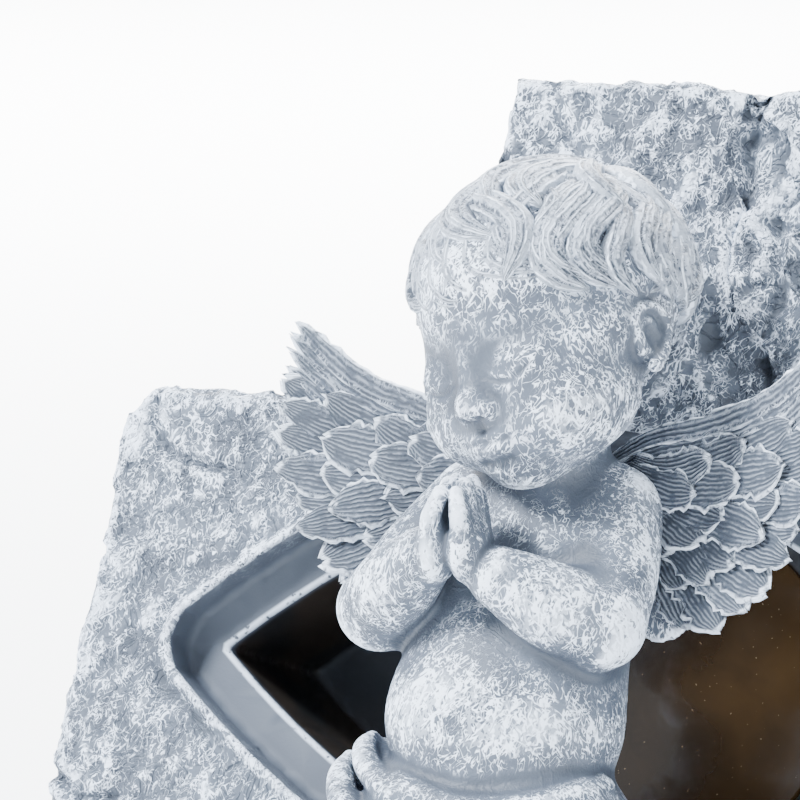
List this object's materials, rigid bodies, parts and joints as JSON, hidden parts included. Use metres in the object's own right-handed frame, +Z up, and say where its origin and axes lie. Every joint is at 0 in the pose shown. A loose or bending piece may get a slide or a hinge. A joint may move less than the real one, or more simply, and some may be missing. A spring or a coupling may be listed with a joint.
{
  "type": "resin angel statue",
  "caption": "Grey cast resin cherub kneeling in prayer on a rock before a leaning, rough stone-look cross with a pointed niche and an amber pane.",
  "frame": {"origin": "middle of the flat underside of the base", "axes": "+Z up, -Y the front that the cherub faces, +X along the cross's arms to the right seen from the front"},
  "size_m": [0.279, 0.211, 0.2743],
  "materials": {
    "rock_resin": "light grey cast resin, rough as hewn stone, dry-brushed in off-white",
    "figure_resin": "light grey cast resin with off-white flecks on the raised forms",
    "amber_resin": "glossy see-through amber"
  },
  "bodies": {
    "root": {"stone_cross": "rock_resin", "angel": "figure_resin", "amber_pane": "amber_resin"}
  },
  "joints": []
}
